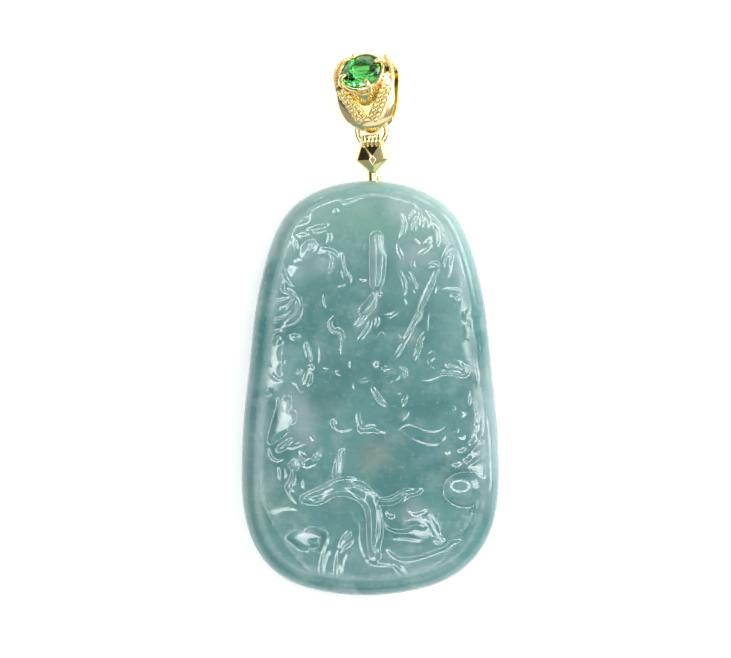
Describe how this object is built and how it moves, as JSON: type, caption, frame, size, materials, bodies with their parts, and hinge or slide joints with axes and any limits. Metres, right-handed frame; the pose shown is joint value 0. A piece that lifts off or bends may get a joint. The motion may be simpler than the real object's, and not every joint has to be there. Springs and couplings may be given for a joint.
{
  "type": "jade pendant",
  "caption": "Carved jade plaque pendant with a faceted gold cap, a link ring and a gold bail that is set with a round green stone, lying on its flat back.",
  "frame": {"origin": "middle of the plaque's flat back", "axes": "+Z out of the carved face, +Y towards the bail, +X to the viewer's right"},
  "size_m": [0.0261, 0.055, 0.0078],
  "materials": {
    "jade": "polished translucent blue-green jade",
    "gold": "polished yellow gold",
    "green_stone": "faceted clear green stone"
  },
  "bodies": {
    "root": {"jade_plaque": "jade", "peg_cap": "gold", "link_ring": "gold", "bail": "gold", "green_stone": "green_stone"}
  },
  "joints": []
}
